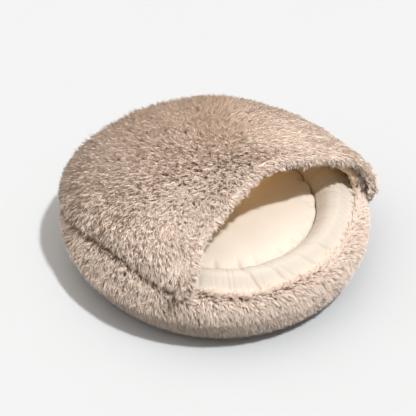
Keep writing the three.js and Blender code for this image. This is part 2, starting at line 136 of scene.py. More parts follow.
def at(radius, degrees, height):
    """Points from distance to the axis, degrees from the front and height."""
    radius, turn, height = np.broadcast_arrays(radius, np.radians(degrees), height)
    return np.stack([radius * np.sin(turn), -radius * np.cos(turn), height], -1).astype(float)


def degrees_at(points):
    """Degrees from the front at which points lie."""
    return np.degrees(np.arctan2(points[:, 0], -points[:, 1]))


def unit(vectors):
    length = np.linalg.norm(vectors, axis=-1, keepdims=True)
    return vectors / np.maximum(length, 1e-9)


def pull(degrees):
    away = wrap(degrees) - PULL["at"]
    return bell(away, np.where(away < 0, PULL["back"], PULL["front"]))


def flare(degrees):
    return bell(wrap(degrees) - FLARE["at"], FLARE["spread"])


def full(degrees):
    return bell(wrap(degrees - FULL["at"]), FULL["spread"])


def seam_radius(degrees):
    out = FLARE["out"] * flare(degrees) + FULL["out"] * full(degrees)
    return SEAM_RADIUS - PULL["in"] * pull(degrees) + out


def seam_height(degrees):
    return SEAM_HEIGHT + PULL["up"] * pull(degrees)


def below_mouth(degrees):
    return 1 - smooth(np.abs(wrap(degrees)), *FRONT_BLEND)


def border(degrees):
    """Radius and height of the edge between the wall's pile and the cream cloth."""
    front = 1 - smooth(np.abs(wrap(degrees)), *FACE_BLEND)
    dip = bell(wrap(degrees) - BORDER_DIP["at"], BORDER_DIP["spread"])
    pulled = pull(degrees)
    radius = mix(BORDER_SIDE, BORDER_FRONT, front) + BORDER_DIP["out"] * dip
    height = BORDER_HEIGHT - BORDER_DIP["down"] * dip + PULL_BORDER["up"] * pulled
    return radius - PULL_BORDER["in"] * pulled, height


# Hood


def hood_point(degrees, rise, inset):
    """Points on the hood. Rise is -1 at the seam, 0 where it is widest and 1 over the axis."""
    degrees, rise, inset = np.broadcast_arrays(
        np.asarray(degrees, float), np.asarray(rise, float), np.asarray(inset, float))
    widest = seam_radius(degrees) + BULGE_OUT - inset
    base = seam_height(degrees) + BULGE_UP
    turn = np.clip(rise, 0, 1) * math.pi / 2
    power = DOME_POWER - FLARE["power"] * flare(degrees)
    swung = degrees + FLARE["swing"] * flare(degrees) * smooth(rise, 0, SWUNG_BY)
    high = at(widest * np.cos(turn) ** power, swung, 0)
    away = (high[..., 0] - ARCH["x"]) ** 2 + (high[..., 1] - ARCH["y"]) ** 2
    lift = ARCH["lift"] * np.exp(-away / (2 * ARCH["spread"] ** 2)) * smooth(rise, 0, LIFTED_BY)
    high[..., 2] = base + (DOME_TOP - inset - base) * np.sin(turn) ** power + lift
    below = np.clip(-rise, 0, 1)
    low = at(widest - BULGE_OUT * below ** 2, degrees, mix(base, seam_height(degrees) + GAP, below))
    return np.where((rise < 0)[..., None], low, high)


def hood_edge(degrees, setback=0.0, turn=0.0):
    """How far down each column the hood reaches, as a rise."""
    degrees = wrap(degrees)
    away = np.abs(degrees)
    column = np.maximum(0, away - turn)
    radius = np.where(
        degrees < 0,
        np.interp(column, *zip(*EDGE_LEFT)),
        np.interp(column, *zip(*EDGE_RIGHT)),
    )
    part = np.clip((radius - setback) / (seam_radius(degrees) + BULGE_OUT), 0, 1)
    power = DOME_POWER - FLARE["power"] * flare(degrees)
    rise = np.arccos(part ** (1 / power)) / (math.pi / 2)
    return mix(rise, -1, smooth(away, *CORNER_BLEND))


def columns(step=2.0, corner_step=0.6):
    """Degrees round the bed, closer together at the corners of the mouth."""
    sides = np.arange(62, 180.1, step)
    front = np.arange(-42, 42.1, step)
    corner = np.arange(43, 61.5, corner_step)
    return np.unique(np.r_[-sides[:-1], -corner, front, corner, sides])


def rolled(degrees):
    return 1 - smooth(np.abs(wrap(degrees)), *CORNER_BLEND)


def hood_frames(degrees, inset):
    """The edge of the hood at a depth: its rise, its place, its way out and its outer normal."""
    edge = hood_edge(degrees)
    place = hood_point(degrees, edge, inset)
    outer = unit(hood_point(degrees, edge, 0) - hood_point(degrees, edge, SLAB))
    after = hood_point(degrees + 0.5, hood_edge(degrees + 0.5), inset)
    before = hood_point(degrees - 0.5, hood_edge(degrees - 0.5), inset)
    facing = unit(np.cross(after - before, outer))
    return edge, place, facing, outer


def edge_half(degrees):
    """Half the hood's thickness at its edge, which is thinner on the left of the mouth."""
    left = smooth(-wrap(degrees), 0, 25) * (1 - smooth(-wrap(degrees), 48, 54))
    return mix(SLAB / 2, EDGE_THIN, left)


# Slack places in the hood: middle x and y, width, length, turn in degrees and depth
HOLLOWS = [
    (-120, 20, 26, 60, 20, 4.0),
    (-60, 60, 22, 55, -30, 3.0),
    (-150, -30, 18, 40, 70, 2.5),
    (-20, -10, 20, 50, 35, 2.0),
]


# Meshes from arrays


def closed_grid(sections):
    """Quads over sections of equal length, each a closed loop, joined all round."""
    count, size = sections.shape[:2]
    i = np.arange(count)[:, None]
    j = np.arange(size)[None, :]
    following = (i + 1) % count
    beside = (j + 1) % size
    a, b, c, d = i * size + j, i * size + beside, following * size + beside, following * size + j
    return np.stack(np.broadcast_arrays(a, b, c, d), -1).reshape(-1, 4)


def mesh_piece(name, sections, finish):
    """A smooth-shaded mesh object over closed sections in millimetres, with a finish by name."""
    mesh = bpy.data.meshes.new(name)
    mesh.from_pydata((sections.reshape(-1, 3) * MM).tolist(), [], closed_grid(sections).tolist())
    mesh.validate()
    mesh.polygons.foreach_set("use_smooth", np.ones(len(mesh.polygons), bool))
    mesh.materials.append(material(finish))
    piece = bpy.data.objects.new(name, mesh)
    bpy.context.scene.collection.objects.link(piece)
    weld(mesh)
    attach(piece, "root")
    return piece


def weld(mesh):
    """Joins points that meet at a pole and turns all faces outwards."""
    work = bmesh.new()
    work.from_mesh(mesh)
    bmesh.ops.remove_doubles(work, verts=work.verts, dist=1e-6)
    bmesh.ops.dissolve_degenerate(work, dist=1e-7, edges=work.edges)
    bmesh.ops.recalc_face_normals(work, faces=work.faces)
    work.to_mesh(mesh)
    work.free()
    mesh.update()


# Materials


def new_material(name):
    material = bpy.data.materials.new(name)
    material.use_nodes = True
    tree = material.node_tree
    shader = tree.nodes["Principled BSDF"]
    return material, tree, shader


def opaque(colour):
    return tuple(colour) + (1.0,)


def add_noise(tree, scale, detail=3.0, coordinates=None):
    if coordinates is None:
        coordinates = tree.nodes.new("ShaderNodeTexCoord").outputs["Object"]
    noise = tree.nodes.new("ShaderNodeTexNoise")
    noise.inputs["Scale"].default_value = scale
    noise.inputs["Detail"].default_value = detail
    tree.links.new(coordinates, noise.inputs["Vector"])
    return noise.outputs["Fac"]


def add_ramp(tree, value, stops):
    ramp = tree.nodes.new("ShaderNodeValToRGB")
    elements = ramp.color_ramp.elements
    while len(elements) < len(stops):
        elements.new(0.5)
    for element, (place, colour) in zip(elements, stops):
        element.position = place
        element.color = opaque(colour)
    tree.links.new(value, ramp.inputs["Fac"])
    return ramp.outputs["Color"]


def shade(colour, factor):
    return tuple(min(1.0, c * factor) for c in colour)


def pile_material(colours):
    """Pile that runs from dark roots to pale tips, in two tones that each strand mixes. The dark roots
    are partly the pile's own colour and partly painted shade deep in the pile.
    """
    material, tree, shader = new_material("long_pile_strands")
    place = tree.nodes.new("ShaderNodeUVMap")
    place.uv_map = STRAND_MAP
    parts = tree.nodes.new("ShaderNodeSeparateXYZ")
    tree.links.new(place.outputs["UV"], parts.inputs["Vector"])
    root, body, tip = colours.pile_root, colours.pile_body, colours.pile_tip
    pale = add_ramp(tree, parts.outputs["Y"], [
        (0.0, root), (0.3, mix_colour(root, body, 0.85)), (0.6, tip), (1.0, shade(tip, 1.05)),
    ])
    brown = add_ramp(tree, parts.outputs["Y"], [
        (0.0, shade(root, 0.7)), (0.45, mix_colour(root, body, 0.5)), (0.8, body),
        (1.0, mix_colour(body, tip, 0.5)),
    ])
    mixed = tree.nodes.new("ShaderNodeMix")
    mixed.data_type = "RGBA"
    tree.links.new(parts.outputs["X"], mixed.inputs["Factor"])
    tree.links.new(brown, mixed.inputs["A"])
    tree.links.new(pale, mixed.inputs["B"])
    tree.links.new(mixed.outputs["Result"], shader.inputs["Base Color"])
    shader.inputs["Roughness"].default_value = 0.7
    shader.inputs["Specular IOR Level"].default_value = 0.25
    shader.inputs["Sheen Weight"].default_value = 0.15
    shader.inputs["Sheen Roughness"].default_value = 0.5
    return material


def mix_colour(a, b, part):
    return tuple(mix(x, y, part) for x, y in zip(a, b))


def cloth_material(name, colour, nap=900.0, bump=0.12, sheen=0.25):
    """Matt cloth with a fine nap and slow changes of tone."""
    material, tree, shader = new_material(name)
    tone = add_ramp(tree, add_noise(tree, 22.0), [(0.3, shade(colour, 0.95)), (0.7, colour)])
    tree.links.new(tone, shader.inputs["Base Color"])
    relief = tree.nodes.new("ShaderNodeBump")
    relief.inputs["Strength"].default_value = bump
    relief.inputs["Distance"].default_value = 0.0006
    tree.links.new(add_noise(tree, nap, 2.0), relief.inputs["Height"])
    tree.links.new(relief.outputs["Normal"], shader.inputs["Normal"])
    shader.inputs["Roughness"].default_value = 0.85
    shader.inputs["Specular IOR Level"].default_value = 0.2
    shader.inputs["Sheen Weight"].default_value = sheen
    shader.inputs["Sheen Roughness"].default_value = 0.4
    return material


def material(name):
    """A finish by name, made when it is first asked for."""
    found = bpy.data.materials.get(name)
    if found:
        return found
    colours = bpy.context.scene.bed_colours
    if name == "long_pile_strands":
        return pile_material(colours)
    if name == "cushion_plush":
        return cloth_material(name, tuple(colours.cream))
    # The ring's cloth is a darker copy of the cushion's cream: painted shade against the stronger
    # light that the ring takes outside the hood.
    if name == "bolster_cotton":
        return cloth_material(name, shade(tuple(colours.cream), 0.86))
    # The lining is a deeper gold than the cream: painted warm shade that also warms the light it
    # throws into the hollow under the hood.
    if name == "lining_cotton":
        return cloth_material(name, tuple(colours.lining), nap=1100.0)
    # The backing takes the pile's root colour, and with it the painted shade deep in the pile.
    if name == "pile_backing":
        return cloth_material(name, tuple(colours.pile_root), nap=700.0, bump=0.3, sheen=0.0)
    if name == "base_weave":
        return cloth_material(name, tuple(colours.base), nap=1200.0, bump=0.4, sheen=0.05)
    raise KeyError(name)


# The outside of the pile, through the tips of its strands, and the cloth at their roots

PILE_DEPTH = 15.0
PILE_DEPTH_EDGE = 8.0
CLOTH_THICK = 2.0
ROLL_TURNS = np.radians([18.0, 40.0, 62.0, 84.0, 106.0, 128.0, 150.0])
WALL_SIDE = [(206.0, 1.2), (218.0, 2.6), (233.0, 12.5), (246.0, 37.0), (WALL_RADIUS, WALL_WIDEST)]
WALL_TUCK = [0.0, 0.4, 1.0, 0.9, 0.0]
WALL_FULL = [0.0, 0.0, 0.3, 0.8, 1.0]


def root_reach(half):
    """Distance from the middle of the hood's edge to the roots of the pile round it."""
    return np.maximum(half - PILE_DEPTH_EDGE, 1.5)


def hood_tips_and_roots(degrees, rows=40):
    """The hood's outside from the axis down to its edge and round it, and its cloth below."""
    half = edge_half(degrees)
    edge, place, facing, outer = hood_frames(degrees, half)
    free = rolled(degrees)[:, None]
    steps = 1 - (1 - np.linspace(0, 1, rows)) ** 1.25
    rises = mix(1.0, edge[:, None], steps[None, :])
    tips = hood_point(degrees[:, None], rises, 0)
    run = np.linalg.norm(tips - tips[:, -1:], axis=-1)
    depth = mix(PILE_DEPTH_EDGE, PILE_DEPTH, smooth(run, 0, 26))
    hollow = sag(tips, rises)
    tips = hood_point(degrees[:, None], rises, hollow)
    roots = hood_point(degrees[:, None], rises, hollow + depth)
    way = (outer[:, None] * np.cos(ROLL_TURNS)[None, :, None]
           + facing[:, None] * (np.sin(ROLL_TURNS)[None, :] * free)[..., None])
    round_tips = place[:, None] + way * half[:, None, None]
    round_roots = place[:, None] + way * root_reach(half)[:, None, None]
    closed = smooth(np.abs(wrap(degrees)), 56.5, 58.0)
    lining = mix(np.maximum(edge, lining_edge(degrees) + 0.02), edge, closed)
    part = np.array([[0.1, 0.4, 0.7, 1.0]])
    under = mix(edge[:, None], lining[:, None], part)
    inset = mix(2 * half[:, None], SLAB, part)
    return (
        np.concatenate([tips, round_tips, hood_point(degrees[:, None], under, inset)], 1),
        np.concatenate([roots, round_roots, hood_point(degrees[:, None], under, inset - 7.0)], 1),
    )


def outward(grid):
    """Normals over a grid of columns round the bed and rows downwards."""
    down = np.gradient(grid, axis=1)
    along = np.gradient(grid, axis=0)
    normals = unit(np.cross(down, along))
    pole = np.linalg.norm(along, axis=-1) < 1e-3
    normals[pole] = (0, 0, 1)
    return normals


def sag(tips, rises):
    """Soft hollows in the slack cloth of the hood, as a depth at each place."""
    x, y = tips[..., 0], tips[..., 1]
    hollow = np.zeros(x.shape)
    for (hx, hy, across, along, turn, depth) in HOLLOWS:
        c, s = math.cos(math.radians(turn)), math.sin(math.radians(turn))
        u = c * (x - hx) + s * (y - hy)
        v = -s * (x - hx) + c * (y - hy)
        hollow += depth * np.exp(-((u / along) ** 2) - (v / across) ** 2)
    return hollow * smooth(rises, 0.15, 0.35)


# The face between the wall's cloth and the stuffing, from the floor up to where it is widest
FACE_HEIGHTS = [3.4, 30.0, 68.0]
FACE_RADII = [200.0, 223.0, 231.0]


def wall_face(height, degrees):
    """Radius of the stuffing's outside at a height, up to the border."""
    radius, top = border(degrees)
    widest = FACE_HEIGHTS[-1]
    low = np.interp(np.minimum(height, widest), FACE_HEIGHTS, FACE_RADII)
    part = np.clip((height - widest) / (top - widest), 0, 1)
    return mix(low, radius, part)


def even_lines(points, count, passes=5):
    """Even samples along rounded lines, one for each row of points."""
    steps = np.linalg.norm(np.diff(points, axis=1), axis=2)
    run = np.concatenate([np.zeros((len(points), 1)), np.cumsum(steps, 1)], 1)
    run /= run[:, -1:]
    even = np.linspace(0, 1, count)
    lines = np.array([
        [np.interp(even, r, p[:, k]) for k in range(3)] for r, p in zip(run, points)
    ]).transpose(0, 2, 1)
    for _ in range(passes):
        lines[:, 1:-1] = (lines[:, :-2] + 2 * lines[:, 1:-1] + lines[:, 2:]) / 4
    return lines


def wall_tips_and_roots(degrees, rows=34):
    """The wall's outside from its top down to the floor, and its cloth below."""
    front = below_mouth(degrees)
    tucked, fuller = PULL["tuck"] * pull(degrees), FULL["out"] * full(degrees)
    line = [
        at(radius - tuck * tucked + out * fuller, degrees, height)
        for (radius, height), tuck, out in zip(WALL_SIDE, WALL_TUCK, WALL_FULL)
    ]
    seam_r, seam_z = seam_radius(degrees), seam_height(degrees)
    border_r, border_z = border(degrees)
    line.append(at(
        mix((WALL_RADIUS + fuller + seam_r) / 2 + 2, SHOULDER_FRONT["radius"], front), degrees,
        mix(mix(WALL_WIDEST, seam_z, 0.6), SHOULDER_FRONT["height"], front)))
    line.append(at(mix(seam_r + 5, border_r + 16, front), degrees, mix(seam_z - 2, border_z, front)))
    line.append(at(mix(seam_r, border_r + 5, front), degrees, mix(seam_z + 1.5, border_z + 5, front)))
    tips = even_lines(np.stack(line, 1)[:, ::-1], rows)
    part = np.linspace(0, 1, rows)
    depth = np.interp(part, [0, 0.14, 0.3, 0.75, 0.9, 1.0], [11, 12, 15, 15, 9, 5])
    roots = tips - outward(tips) * depth[None, :, None]
    least = wall_face(roots[..., 2], degrees[:, None]) + 1.0 + CLOTH_THICK
    radius = np.hypot(roots[..., 0], roots[..., 1])
    grown = np.maximum(radius, least) / radius
    roots[..., :2] *= grown[..., None]
    roots[..., 2] = np.maximum(roots[..., 2], FLOOR + 0.4)
    return tips, roots


def hood_cloth_sections(degrees):
    """The cloth under the hood's pile, turned round its edge at the mouth."""
    roots = hood_tips_and_roots(degrees)[1][:, :-4]
    half = edge_half(degrees)
    edge, place, _, outer = hood_frames(degrees, half)
    last = place - outer * root_reach(half)[:, None]
    steps = np.linspace(0, 1, 24)[None, 1:]
    rises = mix(edge[:, None], 1.0, steps)
    start = np.maximum(half + root_reach(half), 10.5)[:, None]
    inner = hood_point(degrees[:, None], rises, mix(start, PILE_DEPTH + CLOTH_THICK, smooth(
        steps, 0, 0.2)) + sag(hood_point(degrees[:, None], rises, 0), rises))
    return np.concatenate([roots, last[:, None], inner], 1)


def backing(roots, thick):
    """A sheet of cloth whose outside is at the roots of the pile."""
    inner = roots - outward(roots) * thick
    return np.concatenate([roots, inner[:, ::-1]], 1)


# Ring and cushion

# Gathers across the ring in front, by degrees at the crease and at the border, and their depth
FRONT_GATHERS = [
    (-53.0, -49.0, 0.35), (-38.5, -37.0, 0.35), (-36.0, -35.2, 0.3), (-32.6, -24.1, 1.0),
    (-22.0, -12.3, 1.0), (-20.0, -8.0, 0.4), (-6.5, 3.2, 0.85), (4.8, 14.8, 1.0),
]
GATHER_PITCH = 12.0
# Radius at which the width of a gather is measured
RING_MIDDLE = 190.0
# Each gather draws in a wider stretch too: its share of the depth and how much wider it is
WIDE_SHARE = 0.14
WIDE_BY = 5.0


def gathers(rng):
    """Rows of place at the crease, place at the border, depth and width of each gather."""
    rows = [(a, b, depth, rng.uniform(1.7, 2.1)) for a, b, depth in FRONT_GATHERS]
    for degrees in np.arange(57.0, 304.0, GATHER_PITCH):
        place = degrees + rng.uniform(-2.5, 2.5)
        end = place + rng.uniform(0, 3)
        rows.append((place, end, rng.uniform(0.5, 0.95), rng.uniform(2.4, 3.4)))
    # Fine folds in front
    for place in np.arange(-60.0, 16.0, 3.3):
        start = place + rng.uniform(-1.4, 1.4)
        end = start + rng.uniform(0, 2.5)
        rows.append((start, end, rng.uniform(0.05, 0.25), rng.uniform(1.6, 2.6)))
    # Fine folds at the sides and the back, which lean back more from the mouth's right side on
    for place in np.arange(16.0, 300.0, 2.3):
        start = place + rng.uniform(-0.9, 0.9)
        back = 0.12 * max(0.0, min(start, 75.0) - 15.0)
        end = start - back - rng.uniform(0, 4)
        depth = 0.08 + 0.45 * rng.random() ** 1.6
        rows.append((start, end, depth, rng.uniform(1.6, 2.6)))
    return rows


def fold_depth(degrees, across, rows, depth):
    """How far the folds draw the cloth in, where across runs from 0 at the crease to 1."""
    total = np.zeros(np.broadcast(degrees, across).shape)
    ends = 0.5 + 0.5 * np.abs(2 * across - 1.0) ** 1.5
    for start, end, strength, width in rows:
        away = np.abs(np.radians(wrap(degrees - mix(start, end, across)))) * RING_MIDDLE
        total += depth * strength * (ends * np.exp(-(away / (0.8 * width)) ** 1.15)
                                     + WIDE_SHARE * np.exp(-(away / (WIDE_BY * width)) ** 2))
    return total


BOLSTER_PROFILE = [
    (0.0, 0.0), (0.02, 0.09), (0.05, 0.21), (0.1, 0.40), (0.17, 0.61), (0.26, 0.81), (0.36, 0.94),
    (0.48, 1.0), (0.6, 1.0), (0.72, 0.95), (0.82, 0.86), (0.91, 0.72), (1.0, 0.55),
]
# The ring's sides below the crease and below the border, as radius and height
BOLSTER_INSIDE = {
    "radii": [BOLSTER_INNER - 9.0, BOLSTER_INNER - 4.0, BOLSTER_INNER - 1.0],
    "heights": [FLOOR + 0.5, 30.0, 66.0],
}
BOLSTER_OUTSIDE = {"radii": [230.0, 222.0, 199.0], "heights": [68.0, 30.0, FLOOR + 0.5]}


def bolster_side(side, degrees):
    return at(np.array([side["radii"]]), degrees[:, None], np.array([side["heights"]]))


def bolster_sections(depth):
    rng = np.random.default_rng(11)
    degrees = np.r_[np.arange(-60.0, 60.0, 0.25), np.arange(60.0, 300.0, 0.5)]
    across = np.linspace(0, 1, 28)
    table = np.array(BOLSTER_PROFILE)
    up = np.interp(across, table[:, 0], table[:, 1])
    radius, height = border(degrees)
    radius = radius - 0.5
    top = BOLSTER_TOP + PULL_BOLSTER_UP * pull(degrees)
    radii = mix(BOLSTER_INNER, radius[:, None], across[None, :])
    rise = mix(BOLSTER_CREASE, top[:, None], up[None, :])
    outer = smooth(across, 0.5, 1.0)[None, :]
    rise = mix(rise, np.minimum(rise, height[:, None] - 1.0), outer)
    drawn = fold_depth(degrees[:, None], across[None, :], gathers(rng), depth)
    rise = rise - drawn
    radii = radii + 0.2 * drawn * (1 - across[None, :]) ** 2
    over = at(radii, degrees[:, None], rise)
    inside, outside = bolster_side(BOLSTER_INSIDE, degrees), bolster_side(BOLSTER_OUTSIDE, degrees)
    return np.concatenate([inside, over, outside], 1)


# Puckers where the cushion's cloth is drawn in, by degrees from the front
FRONT_PUCKERS = [-43.8, -30.2, -20.0, -3.4, 9.6, 20.8]


def cushion_sections(depth):
    rng = np.random.default_rng(5)
    degrees = np.arange(-180.0, 180.0, 0.6)
    places = FRONT_PUCKERS + [a + rng.uniform(-2, 2) for a in np.arange(34.0, 306.0, 13.0)]
    # Distance inside the edge, height, and how far a pucker draws the cloth in and down there
    rows = [
        (16, FLOOR + 0.5, 0, 0), (6, 14, 0, 0), (1.5, 46, 0, 0), (0.5, 74, 0.1, 0),
        (0.2, 86, 0.2, 0.3), (0.8, 91, 0.3, 0.7), (3.5, 93.8, 0.3, 0.95), (6, 95, 0.2, 1.0),
        (9, 96.1, 0.1, 0.85), (12, 97, 0, 0.5), (16, 97.9, 0, 0.2), (22, 99.1, 0, 0.05),
        (30, 100.2, 0, 0), (40, 101.1, 0, 0), (56, 101.8, 0, 0), (80, 102.3, 0, 0),
        (104, 102.7, 0, 0), (130, CUSHION_TOP, 0, 0), (152, CUSHION_TOP, 0, 0),
    ]
    inside, height, drawn, down = (np.array(column, float)[None, :] for column in zip(*rows))
    dent = np.zeros((len(degrees), inside.size))
    for place in places:
        away = np.radians(wrap(degrees - place))[:, None] * CUSHION_EDGE
        reach = 7.0 - 0.2 * np.minimum(inside, 20.0)
        dent += rng.uniform(0.7, 1.1) * np.exp(-(np.abs(away) / reach) ** 1.5)
    wave = 0.5 * np.sin(np.radians(degrees * 3 + 40)) + 0.4 * np.sin(np.radians(degrees * 7 + 10))
    wave = wave[:, None] * np.interp(inside, [5, 40, 150], [0, 1, 0.2])
    return at(CUSHION_EDGE - inside - depth * dent * drawn, degrees[:, None],
              height + wave - depth * dent * down)


def capped(sections):
    """Closes a section line on the axis at both ends."""
    first, last = sections[:, :1].copy(), sections[:, -1:].copy()
    first[..., :2] = 0
    last[..., :2] = 0
    return np.concatenate([first, sections, last], 1)


# Lining

LINING_THICK = 2.2
LINING_OUTSIDE = SLAB + 0.9
LINING_LOW = 0.24
LINING_CORNER = 0.07
LINING_SETBACK = 11.0
LINING_TURN = 1.6


def lining_edge(degrees):
    """How far down each column the lining reaches, as a rise."""
    corner = bell(np.abs(wrap(degrees)) - 56.0, 7.0)
    low = mix(LINING_LOW, LINING_CORNER, corner)
    return np.maximum(low, hood_edge(degrees, LINING_SETBACK, LINING_TURN))


def lining_sections():
    degrees = columns()
    edge = lining_edge(degrees)
    free = 1 - smooth(np.abs(wrap(degrees)), CORNER_BLEND[0] - 1.5, CORNER_BLEND[1])
    rises = mix(edge[:, None], 1.0, np.linspace(0, 1, 18)[None, :])
    radius, height = border(degrees)
    wrinkle = (0.5 * np.sin(np.radians(degrees) * 57) + 0.5 * np.sin(np.radians(degrees) * 91 + 1))
    faces = []
    for depth in (0.0, LINING_THICK):
        inset = LINING_OUTSIDE + depth
        fade = smooth(1 - rises, 0.2, 0.7)
        line = hood_point(degrees[:, None], rises, inset + 0.8 + 0.8 * wrinkle[:, None] * fade)
        sewn = at(radius - 1.2 - depth, degrees, height + 4.0)
        hem = hood_point(degrees, edge - 0.004, inset + 0.8)
        foot = mix(sewn, hem, free[:, None])
        faces.append(np.concatenate([foot[:, None], mix(foot, line[:, 0], 0.5)[:, None], line], 1))
    return np.concatenate([faces[0][:, ::-1], faces[1]], 1)


# Pile

STRAND_MAP = "strand_place"
BAKE_MAP = "OFBake"
LEVELS = np.array([0.0, 0.6, 1.0])
# How far the lit upper sides of strands turn the pile's light upwards on a steep wall
UPPER_SIDES = 1.0


def broad(points, scale, phase=0.0):
    """A slow, even random-looking field from -1 to 1 over the bed."""
    x, y, z = (points[..., k] / scale for k in range(3))
    return (np.sin(x + 1.7 * y + phase) + np.sin(1.3 * y - 0.8 * z + 2.1 + phase)
            + np.sin(1.9 * z + 0.9 * x + 4.2 - phase) + np.sin(2.3 * x - 1.1 * y + 0.7 * z)) / 4


def wander(points):
    """A slow change of direction over the bed, as if stroked by hand."""
    return np.stack([broad(points, 19.0, 1.0), broad(points, 19.0, 2.3), broad(points, 19.0, 3.9)], -1)


def off_seam(points):
    """0 along the seam between hood and wall, rising to 1 a little away from it."""
    degrees = degrees_at(points)
    away = np.abs(points[:, 2] - seam_height(degrees))
    return np.maximum(smooth(away, -4, 17), below_mouth(degrees))


def off_top(points):
    """0 along the top of the wall, rising to 1 a little way down."""
    degrees = degrees_at(points)
    radius, height = border(degrees)
    front = below_mouth(degrees)
    out = np.hypot(points[:, 0], points[:, 1]) - mix(seam_radius(degrees) - 12, radius, front)
    down = mix(seam_height(degrees), height, front) - points[:, 2]
    return smooth(down + 0.6 * out, 0, 24)


def scatter(tips, roots, spacing, rng):
    """Tufts over a grid: root, way up, depth and way down of each, one for every square."""
    count, size = tips.shape[:2]
    i, j = np.arange(count - 1)[:, None], np.arange(size - 1)[None, :]
    a, b, c, d = np.broadcast_arrays(
        i * size + j, i * size + j + 1, (i + 1) * size + j + 1, (i + 1) * size + j)
    triangles = np.concatenate([
        np.stack([a, b, c], -1).reshape(-1, 3), np.stack([a, c, d], -1).reshape(-1, 3)])
    down = unit(np.gradient(tips, axis=1)).reshape(-1, 3)
    tips, roots = tips.reshape(-1, 3), roots.reshape(-1, 3)
    corners = tips[triangles]
    area = 0.5 * np.linalg.norm(
        np.cross(corners[:, 1] - corners[:, 0], corners[:, 2] - corners[:, 0]), axis=1)
    wanted = int(area.sum() / spacing ** 2)
    chosen = rng.choice(len(triangles), wanted, p=area / area.sum())
    u, v = rng.random(wanted), rng.random(wanted)
    over = u + v > 1
    u[over], v[over] = 1 - u[over], 1 - v[over]
    weights = np.stack([1 - u - v, u, v], -1)[..., None]
    picked = triangles[chosen]
    root = (roots[picked] * weights).sum(1)
    tip = (tips[picked] * weights).sum(1)
    way = (down[picked] * weights).sum(1)
    depth = np.linalg.norm(tip - root, axis=1)
    return root, unit(tip - root), depth, unit(way)


# Share of the tufts that lead a lock, and how far the others are drawn to the nearest of them
LOCK_LEADERS = 0.22
LOCK_DRAW = 0.55
# Radius of a tuft as a share of the distance between tufts, and the least that it closes
TUFT_FILL = 0.75
TUFT_CLOSING = 0.1
# Height of pile that lies on the floor
ON_FLOOR = 0.8
# Strands in each lock at the mouth's edge, its radius and the least that it closes
RIM_LOCK = (14, 3.4, 0.75)
RIM_TUFTS = 1300
CORNER_TUFTS = 600
BORDER_TUFTS = 1800


def to_locks(points, share, rng):
    """The way from each tuft to the one that leads the lock it hangs together with."""
    chosen = points[rng.random(len(points)) < share]
    tree = KDTree(len(chosen))
    for index, point in enumerate(chosen):
        tree.insert(point, index)
    tree.balance()
    return chosen[[tree.find(point)[1] for point in points]] - points


def grow(name, tufts, rng, settings, lean, comb, curl=0.12, tone=0.0, longer=1.13, lock=None,
         calm=0.0, upper=UPPER_SIDES):
    """Tufts of tapered strands, as one mesh.

    Comb is the way that the pile lies, lean its angle from upright in radians and curl how far
    the tips bend over towards it. Calm pile, from 0 to 1, lies evenly and in one direction.
    Tone makes strands paler, longer makes them longer, upper turns their normals upwards, and
    lock gives the strands, radius and closing of each tuft in place of the usual ones.
    """
    roots, normals, depth, _ = tufts
    count = len(roots)
    usual = (settings.strands, settings.tuft_spacing / MM * TUFT_FILL, TUFT_CLOSING)
    strands, radius, closing = lock or usual
    calm = np.broadcast_to(calm, count)[:, None]
    comb = unit(comb - normals * np.sum(comb * normals, -1, keepdims=True))
    side = np.cross(normals, comb)
    spin = rng.normal(0, 0.5, (count, 1)) * (1 - 0.7 * calm)
    comb, side = comb * np.cos(spin) + side * np.sin(spin), side * np.cos(spin) - comb * np.sin(spin)
    angle = np.clip(lean + rng.normal(0, 0.17, count) * (1 - 0.7 * calm[:, 0]), -0.7, 1.4)[:, None]
    way = normals * np.cos(angle) + comb * np.sin(angle)
    # Pile that leans is longer, so that it still fills the same depth
    fill_out = 1 / np.cos(angle * 0.6) if lock else np.minimum(1 / np.cos(angle * 0.95), 1.5)
    reach = (depth * longer * rng.uniform(0.92, 1.06, count))[:, None, None] * fill_out[:, None]
    curl = (curl * rng.uniform(0.5, 1.5, count))[:, None, None]
    spread = radius * np.sqrt(rng.random((count, strands, 1)))
    turn = rng.uniform(0, 2 * math.pi, (count, strands, 1))
    offset = spread * (np.cos(turn) * comb[:, None] + np.sin(turn) * side[:, None])
    own = rng.uniform(0.86, 1.0, (count, strands, 1))
    closing = rng.uniform(closing, 0.5 + 0.5 * closing, (count, 1, 1))
    stray = rng.normal(0, 1.1, (count, strands, 3)) * (1 - 0.6 * calm[..., None])
    together = LOCK_DRAW * (1 - 0.5 * calm) * to_locks(roots, LOCK_LEADERS, rng)
    middles = []
    for level in LEVELS:
        run = own * reach * level
        bend = own * reach * curl * level ** 2
        middle = (
            roots[:, None] + way[:, None] * run + (comb[:, None] - 0.3 * normals[:, None]) * bend
            + offset * (1 - closing * level) + stray * level + together[:, None] * level ** 1.5)
        # Pile that reaches the floor lies on it
        low = middle[..., 2]
        low[...] = np.where(low < ON_FLOOR, ON_FLOOR + 0.04 * (low - ON_FLOOR).clip(-15, 0), low)
        middles.append(middle)
    way_up = unit(middles[2] - middles[0])
    across = unit(np.cross(way_up, unit(rng.normal(0, 1, (count, strands, 3)))))
    facing = np.cross(across, way_up)
    turned = np.where(np.sum(facing * normals[:, None], -1, keepdims=True) < 0, -1.0, 1.0)
    across, facing = across * turned, facing * turned
    half = across * (settings.strand_width / MM / 2) * rng.uniform(0.7, 1.3, (count, strands, 1))
    points = np.stack([middles[0], middles[1] + half, middles[1] - half, middles[2]], 2)
    lit = unit(normals + upper * np.array([0.0, 0.0, 1.0]))
    soft = unit(lit[:, None] * settings.softness + facing * (1 - settings.softness))
    # Calm pile is paler as well: painted light on the smooth right and back of the hood.
    clump = 0.56 + 0.25 * broad(roots, 21.0) + rng.normal(0, 0.2, count) + 0.28 * calm[:, 0]
    shades = np.clip(
        (clump + tone)[:, None] + rng.normal(0, 0.3, (count, strands)) * (1 - 0.5 * calm), 0.01, 0.99)
    return strand_piece(name, points, soft, shades)


